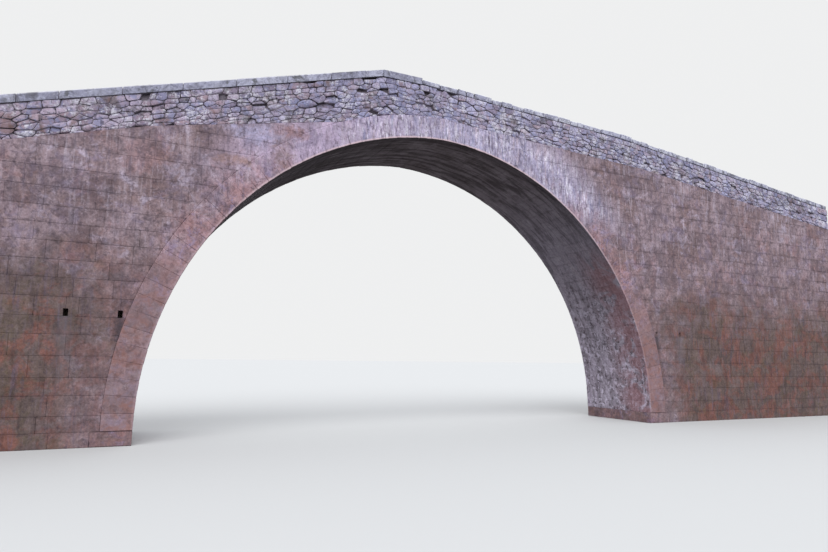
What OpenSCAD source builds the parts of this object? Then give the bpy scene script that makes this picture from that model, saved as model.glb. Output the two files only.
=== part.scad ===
// Hump-backed stone arch bridge of one span, built of coursed ashlar with rubble parapets.
// X runs along the road, Y across it, Z up.
// The origin is under the middle of the arch, at the foot of the abutments.

/* [Arch] */
// Clear span between the two abutments at the springing
span = 14000; // [13000:100:15000]
// How far each arc's centre lies past the middle of the span, which makes the crown slightly pointed
arc_offset = 170; // [60:10:250]
// Depth of the arch stones, from the underside of the arch to its back
ring_depth = 600; // [500:10:700]
// Width of one arch stone along the underside of the arch
voussoir_w = 330; // [260:10:460]
// How far the face rings stand proud of the walls beside them
ring_proud = 20; // [10:5:40]
// Length of the face stones of the arch into the bridge
ring_bed = 420; // [300:10:500]
// Width of the joints between arch stones and between coping stones
joint_w = 12; // [6:1:20]
// How far the mortar in those joints lies behind the faces of the stones
joint_d = 14; // [8:1:18]

/* [Width] */
// Width over the two faces of the walls
bridge_w = 2720; // [2400:20:3000]
// Thickness of the walls, and of the rubble parapets that stand on them
wall_t = 340; // [300:10:400]
// How far the coping stones overhang the parapet on both sides
coping_over = 30; // [20:5:60]

/* [Weep holes] */
// Width of the holes that drain the fill through the walls over the abutments
weep_w = 90; // [60:5:140]
// Height of the weep holes
weep_h = 150; // [80:5:200]
// Height of the weep holes' sills over the foot of the abutments
weep_sill = 2540; // [1800:20:3000]
// Stone left between the back of the arch and the nearest weep hole
weep_clear = 60; // [50:10:300]
// Distance between two weep holes of one wall
weep_gap = 980; // [500:20:1100]
// Number of weep holes in one wall
weep_n = 2; // [1:1:2]

/* [Height] */
// Height of the springing over the foot of the abutments
springing_h = 300; // [200:20:600]
// Masonry between the back of the arch and the paving over the crown
crown_cover = 40; // [30:5:150]
// Height of the coping stones
coping_h = 190; // [120:10:240]
// Length of one coping stone, near enough to divide each straight stretch evenly
coping_l = 700; // [500:20:1000]
// Bevel along the upper edges of the coping stones
coping_bevel = 35; // [20:5:50]
// Height from the roadway to the top of the coping
parapet_h = 820; // [700:10:1000]
// Thickness of the road paving
paving_t = 120; // [80:10:200]

/* [Rubble] */
// Number of arch stones left of the crown on which the rubble stands directly
rubble_left = 8; // [5:1:10]
// Number of arch stones right of the crown on which the rubble stands directly
rubble_right = 2; // [1:1:4]
// Distance from the middle of the arch to the place where the rubble's foot comes up to the road's bed
rubble_foot_x = 7060; // [6800:20:8800]

/* [Road] */
// Distance from the middle of the arch to each end of the bridge
half_length = 16200; // [14000:100:16500]
// Distance from the middle of the arch to the back of each abutment
abutment_back = 9400; // [9000:100:9900]
// Distance from the middle of the arch to the middle of the hump's flat top, towards the left end
summit_x = 1150; // [800:50:1400]
// Length of the hump's flat top
summit_l = 1100; // [600:50:1400]
// Fall of the road left of the flat top, in millimetres for each metre along it
left_slope = 280; // [200:5:300]
// Fall of the road right of the flat top, in millimetres for each metre along it
crown_slope = 50; // [30:5:60]
// Fall of the road's right end, in millimetres for each metre along it
right_slope = 110; // [60:5:200]
// Distance from the middle of the arch to the place where the road's right end falls faster
right_break = 6200; // [5200:100:7500]
// Thickness of the wall that closes each end
end_wall_t = 450; // [350:10:600]

/* [Hidden] */

// Sides of the bridge: the left half and the right half, the front face and the back face
LEFT = -1;
RIGHT = 1;
FRONT = -1;
BACK = 1;

// The arch: two arcs of one radius whose centres lie past the middle, met at the crown
arc_r = span / 2 + arc_offset;
crown_angle = acos(arc_offset / arc_r);
voussoirs = round(arc_r * crown_angle * PI / 180 / voussoir_w);
face_depth = ring_depth - joint_d;

// Distance from the middle of the arch to its back at a height, and to the middle of the nearest weep hole
function arch_back_x(z) = sqrt(pow(arc_r + ring_depth, 2) - pow(z - springing_h, 2)) - arc_offset;
weep_x = arch_back_x(weep_sill) + weep_clear + weep_w / 2;

// The road: where its slope changes, and how far the structure under the paving lies below the coping's top
summit_left = -summit_x - summit_l / 2;
summit_right = -summit_x + summit_l / 2;
road_breaks = [summit_left, summit_right, right_break];
bed_drop = parapet_h + paving_t;

// Height of the coping's top over the crown of the arch, and on the flat top beside it
arch_back_h = springing_h + sqrt(pow(arc_r + ring_depth, 2) - pow(arc_offset, 2));
crown_top = arch_back_h + crown_cover + bed_drop;
top_h = crown_top - summit_right * crown_slope / 1000;

// Height of the coping's top at a place along the road
function top_z(x) =
  top_h
  - max(0, summit_left - x) * left_slope / 1000
  - max(0, min(x, right_break) - summit_right) * crown_slope / 1000
  - max(0, x - right_break) * right_slope / 1000;

// Points along the road from x0 to x1, a fixed drop below the coping's top
function road_line(x0, x1, drop) =
  [for (x = concat([x0], [for (b = road_breaks) if (b > x0 && b < x1) b], [x1])) [x, top_z(x) - drop]];

// The same points from the far end back
function reversed(points) = [for (i = [len(points) - 1:-1:0]) points[i]];

// The joint over the first i arch stones of one half, at a depth behind the underside of the arch
function arc_joint(side, i, depth) =
  let (r = arc_r + depth, a = i / voussoirs * acos(arc_offset / r))
  [side * (r * cos(a) - arc_offset), springing_h + r * sin(a)];

// All joints of one half from the springing to the crown, at one depth
function arc_line(side, depth) = [for (i = [0:voussoirs]) arc_joint(side, i, depth)];

// The point a step away from p towards q
function towards(p, q, step) = p + (q - p) * step / norm(q - p);

// The joint on the arch's back at which the rubble's foot leaves it on one side
function rubble_joint(side) = voussoirs - (side < 0 ? rubble_left : rubble_right);

// Where a parapet's left and right pieces meet, over that joint on the left
rubble_split = arc_joint(LEFT, rubble_joint(LEFT), ring_depth)[0];

// The foot of the rubble, outwards from the arch's back to the given distance from the middle
function wall_top(side, distance) =
  concat(
    [arc_joint(side, rubble_joint(side), ring_depth)],
    side < 0
      ? reversed(road_line(-distance, -rubble_foot_x, bed_drop))
      : road_line(rubble_foot_x, distance, bed_drop)
  );

// The two ends of arch stone i at one depth, half a joint short of its neighbours
function stone_chord(side, i, depth) =
  let (p = arc_joint(side, i, depth), q = arc_joint(side, i + 1, depth))
  [i == 0 ? p : towards(p, q, joint_w / 2), towards(q, p, joint_w / 2)];

// Where the mortar meets the joint face at the lower end (0) or upper end (1) of arch stone i
function mortar_corner(side, i, end) =
  towards(stone_chord(side, i, 0)[end], stone_chord(side, i, face_depth)[end], joint_d);

// The underside of one half with a groove at each joint, as deep as its mortar lies
function grooved_line(side) =
  [for (i = [0:voussoirs - 1])
    let (next = i + 1 < voussoirs ? mortar_corner(side, i + 1, 0) : arc_joint(side, voussoirs, joint_d))
    for (p = concat(stone_chord(side, i, 0), [mortar_corner(side, i, 1), next])) p];

// The face of arch stone i, which ends a little below the ring's back
function stone_face(side, i) =
  concat(
    stone_chord(side, i, 0),
    [mortar_corner(side, i, 1)],
    reversed(stone_chord(side, i, face_depth)),
    i == 0 ? [] : [mortar_corner(side, i, 0)]
  );

// A slab along the road between two drops below the coping's top
module road_slab(x0, x1, drop_top, drop_bottom, y0, y1)
  across(y0, y1)
    polygon(concat(road_line(x0, x1, drop_top), reversed(road_line(x0, x1, drop_bottom))));

// A profile drawn in X and Z, extruded across the bridge from y0 to y1
module across(y0, y1)
  translate([0, max(y0, y1), 0])
    rotate([90, 0, 0])
      linear_extrude(abs(y1 - y0))
        children();

// One half of the arch's masonry, with the joints open along its underside
module arch_half(side, y0, y1)
  across(y0, y1)
    polygon(concat(grooved_line(side), reversed(arc_line(side, ring_depth))));

// The coursed wall between the back of the arch, the abutment's back and the rubble's foot
module haunch_wall(side, y0, y1)
  across(y0, y1)
    polygon(concat(
      [for (i = [0:rubble_joint(side) - 1]) arc_joint(side, i, ring_depth)],
      wall_top(side, abutment_back),
      [[side * abutment_back, springing_h]]
    ));

// Masonry that fills the corner between the back of the arch, the abutment's back and the road's bed
module haunch(side, y0, y1)
  across(y0, y1)
    polygon(concat(
      arc_line(side, ring_depth),
      side < 0 ? reversed(road_line(-abutment_back, 0, bed_drop)) : road_line(0, abutment_back, bed_drop),
      [[side * abutment_back, springing_h]]
    ));

// Masonry of the approach beyond the abutment, from the ground to the road's bed
module approach(side, x_end, y0, y1)
  across(y0, y1)
    polygon(side < 0
      ? concat([[-abutment_back, 0], [-x_end, 0]], road_line(-x_end, -abutment_back, bed_drop))
      : concat([[x_end, 0], [abutment_back, 0]], road_line(abutment_back, x_end, bed_drop)));

// Outer and inner planes of the walls, rings and parapets on one face of the bridge
function face_y(face) = face * bridge_w / 2;
function inside_y(face, t) = face * (bridge_w / 2 - t);

module abutment(side)
  color("rosybrown")
    translate([side < 0 ? -abutment_back : span / 2, -bridge_w / 2, 0])
      cube([abutment_back - span / 2, bridge_w, springing_h]);

// The face ring: wedge-shaped stones, whose faces stand proud of the mortar between them
module ring(face, side)
  color("thistle") {
    outer = face_y(face) + face * ring_proud;
    mortar = outer - face * joint_d;
    arch_half(side, mortar, inside_y(face, ring_bed));
    for (i = [0:voussoirs - 1])
      across(outer, mortar)
        polygon(stone_face(side, i));
  }

module vault(side)
  color("dimgray")
    arch_half(side, inside_y(FRONT, ring_bed), inside_y(BACK, ring_bed));

module spandrel(face, side)
  color("rosybrown")
    difference() {
      haunch_wall(side, face_y(face), inside_y(face, wall_t));
      for (i = [0:weep_n - 1])
        translate([side * (weep_x + i * weep_gap) - weep_w / 2, face_y(face) - wall_t - 1, weep_sill])
          cube([weep_w, 2 * wall_t + 2, weep_h]);
    }

module wing(face, side)
  color("indianred")
    approach(side, half_length, face_y(face), inside_y(face, wall_t));

module haunch_fill(side)
  color("tan")
    haunch(side, inside_y(FRONT, wall_t), inside_y(BACK, wall_t));

module approach_fill(side)
  color("tan")
    approach(side, half_length - end_wall_t, inside_y(FRONT, wall_t), inside_y(BACK, wall_t));

module end_wall(side)
  color("rosybrown")
    across(inside_y(FRONT, wall_t), inside_y(BACK, wall_t)) {
      outer = side * half_length;
      inner = side * (half_length - end_wall_t);
      polygon([[inner, 0], [outer, 0], [outer, top_z(outer) - bed_drop], [inner, top_z(inner) - bed_drop]]);
    }

module paving(x0, x1)
  color("darkgray")
    road_slab(x0, x1, parapet_h, bed_drop, inside_y(FRONT, wall_t), inside_y(BACK, wall_t));

// The left end of a parapet, from the left end of the bridge to the arch's back
module parapet_left(face)
  color("slategray")
    across(face_y(face), inside_y(face, wall_t))
      polygon(concat(road_line(-half_length, rubble_split, coping_h), wall_top(LEFT, half_length)));

// The rest of a parapet, over the crown of the arch and on to the right end
module parapet_right(face)
  color("slategray")
    across(face_y(face), inside_y(face, wall_t))
      polygon(concat(
        [for (i = [rubble_joint(LEFT):voussoirs]) arc_joint(LEFT, i, ring_depth)],
        [for (i = [voussoirs - 1:-1:rubble_joint(RIGHT) + 1]) arc_joint(RIGHT, i, ring_depth)],
        wall_top(RIGHT, half_length),
        reversed(road_line(rubble_split, half_length, coping_h))
      ));

// One bevelled coping stone on a straight stretch of the road
module coping_stone(x0, x1, y0, y1) {
  profile = [
    [y0, coping_h], [y0, coping_bevel], [y0 + coping_bevel, 0],
    [y1 - coping_bevel, 0], [y1, coping_bevel], [y1, coping_h]
  ];
  n = len(profile);
  polyhedron(
    points = [for (x = [x0, x1], p = profile) [x, p[0], top_z(x) - p[1]]],
    faces = concat(
      [[for (i = [n - 1:-1:0]) i], [for (i = [0:n - 1]) n + i]],
      [for (i = [0:n - 1]) let (j = (i + 1) % n) [i, j, n + j, n + i]]
    )
  );
}

// The coping: stones with open joints, and the mortar that they are bedded in
module coping(face, x0, x1)
  color("lightsteelblue") {
    sides = [face_y(face) + face * coping_over, inside_y(face, wall_t + coping_over)];
    y0 = min(sides);
    y1 = max(sides);
    road_slab(x0, x1, coping_bevel, coping_h, y0 + joint_d, y1 - joint_d);
    ends = concat([x0], [for (b = road_breaks) if (b > x0 && b < x1) b], [x1]);
    for (s = [0:len(ends) - 2]) {
      stones = round((ends[s + 1] - ends[s]) / coping_l);
      step = (ends[s + 1] - ends[s]) / stones;
      for (i = [0:stones - 1])
        coping_stone(ends[s] + i * step + joint_w / 2, ends[s] + (i + 1) * step - joint_w / 2, y0, y1);
    }
  }

abutment(LEFT);  // left_abutment
abutment(RIGHT);  // right_abutment
ring(FRONT, LEFT);  // front_ring_left
ring(FRONT, RIGHT);  // front_ring_right
ring(BACK, LEFT);  // back_ring_left
ring(BACK, RIGHT);  // back_ring_right
vault(LEFT);  // vault_left
vault(RIGHT);  // vault_right
spandrel(FRONT, LEFT);  // front_spandrel_left
spandrel(FRONT, RIGHT);  // front_spandrel_right
spandrel(BACK, LEFT);  // back_spandrel_left
spandrel(BACK, RIGHT);  // back_spandrel_right
wing(FRONT, LEFT);  // front_wing_left
wing(FRONT, RIGHT);  // front_wing_right
wing(BACK, LEFT);  // back_wing_left
wing(BACK, RIGHT);  // back_wing_right
haunch_fill(LEFT);  // left_haunch_fill
haunch_fill(RIGHT);  // right_haunch_fill
approach_fill(LEFT);  // left_approach_fill
approach_fill(RIGHT);  // right_approach_fill
end_wall(LEFT);  // left_end_wall
end_wall(RIGHT);  // right_end_wall
paving(-half_length, summit_left);  // left_paving
paving(summit_left, right_break);  // crown_paving
paving(right_break, half_length);  // right_paving
parapet_left(FRONT);  // front_parapet_left
parapet_right(FRONT);  // front_parapet_right
parapet_left(BACK);  // back_parapet_left
parapet_right(BACK);  // back_parapet_right
coping(FRONT, -half_length, summit_left);  // front_coping_left
coping(FRONT, summit_left, half_length);  // front_coping_right
coping(BACK, -half_length, summit_left);  // back_coping_left
coping(BACK, summit_left, half_length);  // back_coping_right
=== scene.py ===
"""The looks of a hump-backed stone arch bridge: its stones, their joints and their weathering.

Everything is in metres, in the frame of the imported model: X along the road, Y across it, Z up.
Each node that shows is replaced by one mesh of separate stones around a recessed bed of mortar.
Every stone carries its own tone, which its material turns into colour.
"""

import math
from dataclasses import dataclass, replace

import bpy
import numpy as np
from mathutils import Matrix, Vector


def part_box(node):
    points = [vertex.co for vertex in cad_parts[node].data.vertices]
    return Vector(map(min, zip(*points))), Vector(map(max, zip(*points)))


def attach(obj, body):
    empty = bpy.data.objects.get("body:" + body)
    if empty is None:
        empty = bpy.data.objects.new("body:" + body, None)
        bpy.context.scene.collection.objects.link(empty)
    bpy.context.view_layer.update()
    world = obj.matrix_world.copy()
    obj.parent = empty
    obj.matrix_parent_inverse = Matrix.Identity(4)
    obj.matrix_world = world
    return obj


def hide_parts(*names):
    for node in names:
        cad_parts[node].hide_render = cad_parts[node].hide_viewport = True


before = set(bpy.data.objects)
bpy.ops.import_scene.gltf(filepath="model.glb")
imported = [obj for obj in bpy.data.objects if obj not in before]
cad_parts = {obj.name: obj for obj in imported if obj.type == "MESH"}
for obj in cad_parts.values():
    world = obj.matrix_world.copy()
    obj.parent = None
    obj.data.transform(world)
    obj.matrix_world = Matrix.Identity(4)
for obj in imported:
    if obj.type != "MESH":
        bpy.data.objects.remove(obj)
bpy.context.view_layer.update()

LEFT, RIGHT = -1, 1
FRONT, BACK = -1, 1
SIDES = {LEFT: "left", RIGHT: "right"}
FACES = {FRONT: "front", BACK: "back"}

# Sizes read from the frame
wing_low, wing_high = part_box("front_wing_left")
foot_low, foot_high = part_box("right_abutment")
ring_low, ring_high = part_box("front_ring_left")
crown_road_low, crown_road_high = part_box("crown_paving")
left_road_low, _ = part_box("left_paving")
right_road_low, right_road_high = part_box("right_paving")
coping_low, coping_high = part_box("front_coping_left")
parapet_low, parapet_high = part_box("front_parapet_right")
spandrel_boxes = {side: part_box(f"front_spandrel_{name}") for side, name in SIDES.items()}

HALF_LENGTH = -wing_low.x
FACE = -wing_low.y
WALL_T = wing_high.y - wing_low.y
HALF_SPAN = foot_low.x
ABUTMENT_BACK = foot_high.x
SPRINGING = foot_high.z
RING_FACE = -ring_low.y
RING_BED = ring_high.y - ring_low.y
RING_DEPTH = -ring_low.x - HALF_SPAN
HALF_VAULT = RING_FACE - RING_BED
PARAPET_T = parapet_high.y - parapet_low.y
HALF_ROAD = FACE - PARAPET_T
COPING_FACE = -coping_low.y
COPING_T = coping_high.y - coping_low.y
COPING_H = coping_high.z - parapet_high.z
PARAPET_H = coping_high.z - crown_road_high.z
PAVING_T = right_road_high.z - crown_road_low.z
BED_DROP = PARAPET_H + PAVING_T

# The arch is two arcs of one radius, whose centres lie this far past the middle of the span
BACK_RISE = ring_high.z - SPRINGING
BACK_HALF_SPAN = HALF_SPAN + RING_DEPTH
ARC_OFFSET = (BACK_RISE**2 - BACK_HALF_SPAN**2) / (2 * BACK_HALF_SPAN)
ARC_R = HALF_SPAN + ARC_OFFSET
BACK_R = ARC_R + RING_DEPTH
HALF_ARC = ARC_R * math.acos(ARC_OFFSET / ARC_R)
VOUSSOIR_W = 0.33
VOUSSOIRS = round(HALF_ARC / VOUSSOIR_W)

# The coping's top along the road: its slope changes at these places
SUMMIT_LENGTH = 1.1
ROAD_X = [-HALF_LENGTH, crown_road_low.x, crown_road_low.x + SUMMIT_LENGTH, crown_road_high.x, HALF_LENGTH]
ROAD_Z = [left_road_low.z + BED_DROP, coping_high.z, coping_high.z]
ROAD_Z += [right_road_high.z + PARAPET_H, right_road_low.z + BED_DROP]

# The rubble's foot leaves the arch's back at these places, and meets the road's bed at this distance
FOOT_START = {
    LEFT: (-spandrel_boxes[LEFT][1].x, spandrel_boxes[LEFT][1].z),
    RIGHT: (spandrel_boxes[RIGHT][0].x, spandrel_boxes[RIGHT][1].z),
}
FOOT_X = 7.06


def top_z(x):
    """Height of the coping's top at a place along the road."""
    return np.interp(x, ROAD_X, ROAD_Z)


def bed_z(x):
    """Height of the road's bed, on which the paving lies."""
    return top_z(x) - BED_DROP


def wall_top(side, distance):
    """Height of the coursed walls' top, where the rubble's foot stands, at a distance from the middle."""
    start_x, start_z = FOOT_START[side]
    ends = [float(bed_z(side * x)) for x in (FOOT_X, HALF_LENGTH)]
    return np.interp(distance, [start_x, FOOT_X, HALF_LENGTH], [start_z, *ends])


def rubble_foot(x):
    """Height of the rubble's foot along the bridge: on the walls' top, or on the back of the arch."""
    distance = np.abs(x)
    on_arch = SPRINGING + np.sqrt(np.maximum(BACK_R**2 - (distance + ARC_OFFSET) ** 2, 0.0))
    starts = np.where(x < 0, FOOT_START[LEFT][0], FOOT_START[RIGHT][0])
    on_walls = np.where(x < 0, wall_top(LEFT, distance), wall_top(RIGHT, distance))
    return np.where(distance < starts, on_arch, on_walls)


def ordered(side, *distances):
    """Distances from the middle of the bridge as places on one side of it, the lowest first."""
    return sorted(side * distance for distance in distances)


def rectangle(u0, v0, u1, v1):
    """The corners of an upright rectangle."""
    return [(u0, v0), (u1, v0), (u1, v1), (u0, v1)]


def random_for(name):
    """Random numbers that are the same each time for one name."""
    return np.random.default_rng([ord(letter) for letter in name])


# Kinds of stone


@dataclass
class Dressing:
    """How the stones of one kind are cut and worn, in metres."""

    joint: float  # width of the joint between two stones
    worn: float  # radius of the worn edges
    corner: float  # length worn off each corner of the outline
    spacing: float  # distance between the points along the outline
    depth: float  # how far a stone runs back into the mortar
    rough: float  # depth of the hollows in the face
    bulge: float = 0.0  # how far the middle of a face stands over its edges
    sink: float = 0.0  # most that a stone sits back from the face
    tilt: float = 0.0  # most that a face leans, as a slope
    wobble: float = 0.0  # unevenness of the outline, as a share of the stone


ASHLAR = Dressing(0.003, 0.004, 0.008, 0.15, 0.10, 0.004, 0.001, 0.002, 0.002, 0.004)
QUOIN = Dressing(0.006, 0.010, 0.02, 0.15, 0.40, 0.005)
END_STONE = replace(QUOIN, worn=0.018, rough=0.016)
VOUSSOIR = replace(QUOIN, worn=0.007, rough=0.005)
SOFFIT = Dressing(0.004, 0.005, 0.02, 0.16, 0.10, 0.005, 0.001, 0.003, 0.003, 0.006)
RUBBLE = Dressing(0.005, 0.008, 0.014, 0.09, 0.12, 0.014, 0.006, 0.026, 0.050, 0.08)
BOULDER = replace(RUBBLE, worn=0.030, corner=0.04, bulge=0.02, sink=0.0, tilt=0.01)
SUNKEN = replace(RUBBLE, sink=0.09)
COBBLE = Dressing(0.010, 0.018, 0.030, 0.12, 0.08, 0.006, 0.012, 0.012, 0.030, 0.080)
SMOOTH_COPING = Dressing(0.012, 0.012, 0.02, 0.15, 0.40, 0.010)
ROUGH_COPING = replace(SMOOTH_COPING, worn=0.036, rough=0.026)

# How far each kind of mortar lies behind the face, and the tones that make it plain, or dark as painted shade
# in the gaps of the rubble
MORTAR_DEPTH = {"wall": 0.011, "ring": 0.020, "soffit": 0.010, "rubble": 0.100, "road": 0.030}
COPING_MORTAR = {LEFT: 0.050, RIGHT: 0.095}
PLAIN_TONE = (0.5, 0.5, 0.5)
SHADED_BED_TONE = (0.5, 0.5, 0.15)


# Points and faces of the stones


def smooth_noise(points, size):
    """Smooth random values from -1 to 1, with features of the given size."""
    cell = points / size
    base = np.floor(cell).astype(np.int64)
    part = cell - base
    part = part * part * (3 - 2 * part)
    total = np.zeros(len(points))
    for corner in np.ndindex(2, 2, 2):
        place = base + np.array(corner)
        key = (place[:, 0] * 73856093) ^ (place[:, 1] * 19349663) ^ (place[:, 2] * 83492791)
        key = ((key ^ (key >> 13)) * 1274126177) & 0xFFFFFFFF
        key = ((key ^ (key >> 16)) * 668265263) & 0xFFFFFFFF
        weight = np.prod(np.where(corner, part, 1 - part), axis=1)
        total += weight * (key / 0x7FFFFFFF - 1)
    return total


# Sizes of the waves that hollow a stone's face, and the share of each
HOLLOWS = {0.23: 0.6, 0.09: 0.3, 0.04: 0.25}


class Stones:
    """Points, faces and tones of many stones, gathered for one mesh."""

    def __init__(self, name):
        self.name = name
        self.random = random_for(name)
        self.points, self.outward, self.rough, self.shift, self.tones = [], [], [], [], []
        self.faces, self.materials = [], []
        self.count = 0

    def add(self, points, outward, rough, edge, faces, tone, material=0):
        """Adds one solid; rough is in metres, and edge is 1 on the worn edges and 0 on a face."""
        size = len(points)
        tones = np.empty((size, 4))
        tones[:, :3] = tone
        tones[:, 3] = edge
        self.points.append(points)
        self.outward.append(outward)
        self.rough.append(np.broadcast_to(rough, size))
        self.shift.append(np.broadcast_to(self.random.uniform(-50, 50, 3), (size, 3)))
        self.tones.append(tones)
        self.faces += [[i + self.count for i in face] for face in faces]
        self.materials += [material] * len(faces)
        self.count += size

    def add_mortar(self, points, faces, tone=PLAIN_TONE):
        self.add(points, np.zeros((len(points), 3)), 0.0, 1.0, faces, tone, 1)

    def mesh(self):
        """One mesh of all the stones, their faces roughened inwards."""
        points = np.concatenate(self.points)
        noisy = points + np.concatenate(self.shift)
        waves = sum(share * smooth_noise(noisy, size) for size, share in HOLLOWS.items())
        hollow = np.clip(0.5 - 0.6 * waves, 0, 1) * np.concatenate(self.rough)
        points = points - np.concatenate(self.outward) * hollow[:, None]
        mesh = bpy.data.meshes.new(self.name)
        mesh.from_pydata(points.tolist(), [], self.faces)
        tone = mesh.attributes.new("tone", "FLOAT_COLOR", "POINT")
        tone.data.foreach_set("color", np.concatenate(self.tones).ravel().astype(np.float32))
        mesh.polygons.foreach_set("material_index", self.materials)
        mesh.polygons.foreach_set("use_smooth", [index == 0 for index in self.materials])
        mesh.update()
        mesh.normals_split_custom_set_from_vertices(self.crisp_normals(mesh))
        return mesh

    def crisp_normals(self, mesh):
        """A normal for each point that leans to its largest faces, and none for the points of the mortar."""
        number = len(mesh.polygons)
        normals, areas = np.empty(3 * number), np.empty(number)
        sizes, corners = np.empty(number, np.int32), np.empty(len(mesh.loops), np.int32)
        mesh.polygons.foreach_get("normal", normals)
        mesh.polygons.foreach_get("area", areas)
        mesh.polygons.foreach_get("loop_total", sizes)
        mesh.loops.foreach_get("vertex_index", corners)
        areas[np.array(self.materials) == 1] = 0.0
        weighted = np.repeat(normals.reshape(-1, 3) * areas[:, None], sizes, axis=0)
        total = np.stack([np.bincount(corners, part, self.count) for part in weighted.T], axis=1)
        length = np.linalg.norm(total, axis=1)[:, None]
        return total / np.where(length > 0, length, 1.0)


gathered = {}


def stones_of(node):
    """The stones gathered so far for the piece that stands for a node."""
    if node not in gathered:
        gathered[node] = Stones(node)
    return gathered[node]


def quads(sheet):
    """The faces between the points of a sheet, given by their numbers."""
    around = (sheet[:-1, :-1], sheet[1:, :-1], sheet[1:, 1:], sheet[:-1, 1:])
    return np.stack(around, axis=-1).reshape(-1, 4).tolist()


def wrapped(rings, count):
    """The sheet of numbers of some rings of points, closed around."""
    sheet = np.arange(rings * count).reshape(rings, count)
    return np.hstack([sheet, sheet[:, :1]]).T


def along_sides(corners):
    """Unit vectors along the sides of an outline."""
    along = np.roll(corners, -1, axis=0) - corners
    return along / np.linalg.norm(along, axis=1)[:, None]


def inset_outline(corners, distance):
    """A convex outline with each side moved inwards by the same distance."""
    along = along_sides(corners)
    inwards = np.stack([-along[:, 1], along[:, 0]], axis=1)
    before = np.roll(inwards, 1, axis=0)
    return corners + distance * (inwards + before) / (1 + np.sum(inwards * before, axis=1))[:, None]


def half_thickness(corners):
    """Distance from the middle of an outline to its nearest side."""
    away, along = corners.mean(axis=0) - corners, along_sides(corners)
    return np.min(np.abs(away[:, 0] * along[:, 1] - away[:, 1] * along[:, 0]))


def clipped(corners, point, normal):
    """The part of a convex outline on the side of a line that its normal points to."""
    kept = []
    reach = [(c[0] - point[0]) * normal[0] + (c[1] - point[1]) * normal[1] for c in corners]
    for i, (here, this) in enumerate(zip(corners, reach)):
        there, other = corners[(i + 1) % len(corners)], reach[(i + 1) % len(corners)]
        if this >= 0:
            kept.append(here)
        if (this > 0 > other) or (this < 0 < other):
            share = this / (this - other)
            kept.append((here[0] + (there[0] - here[0]) * share, here[1] + (there[1] - here[1]) * share))
    return kept


def tidy_outline(corners, shortest=0.03):
    """An outline without the corners that lie close to the one before them."""
    kept = []
    for corner in corners:
        if not kept or math.dist(corner, kept[-1]) > shortest:
            kept.append(corner)
    while len(kept) > 2 and math.dist(kept[0], kept[-1]) <= shortest:
        kept.pop()
    return np.array(kept)


def outline_shares(corners, spacing, corner_cut):
    """Side and share along it of each point around an outline, with two points at each worn corner."""
    sides, shares = [], []
    for side, (a, b) in enumerate(zip(corners, np.roll(corners, -1, axis=0))):
        length = np.linalg.norm(b - a)
        cut = min(corner_cut / length, 0.35)
        parts = max(1, round(length * (1 - 2 * cut) / spacing))
        sides += [side] * (parts + 1)
        shares += list(np.linspace(cut, 1 - cut, parts + 1))
    return np.array(sides), np.array(shares)[:, None]


def mirrored(place, centre):
    """Whether a place function shows outlines from behind."""
    step = 0.01 * np.eye(4)[:3]
    here, along, up, out = place(centre[0] + step[0], centre[1] + step[1], -step[2])[[3, 0, 1, 2]]
    return np.dot(np.cross(along - here, up - here), out - here) < 0


# Rings of points around a worn edge: inset and depth as shares of its radius, and how worn they look
EDGE_RINGS = ((0.0, 1.0, 1.0), (0.29, 0.29, 1.0), (1.0, 0.0, 0.6))
# Rings of points on the face, as shares of its size; thinner stones have only a fan of faces there
FACE_RINGS = (0.66, 0.33)
FINE_FROM = 0.10
# How much less or more than its kind a stone is worn at its edges, at its corners and on its face
EDGE_WEAR = (0.7, 1.5)
CORNER_WEAR = (0.6, 1.8)
FACE_WEAR = (0.5, 1.3)


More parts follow.
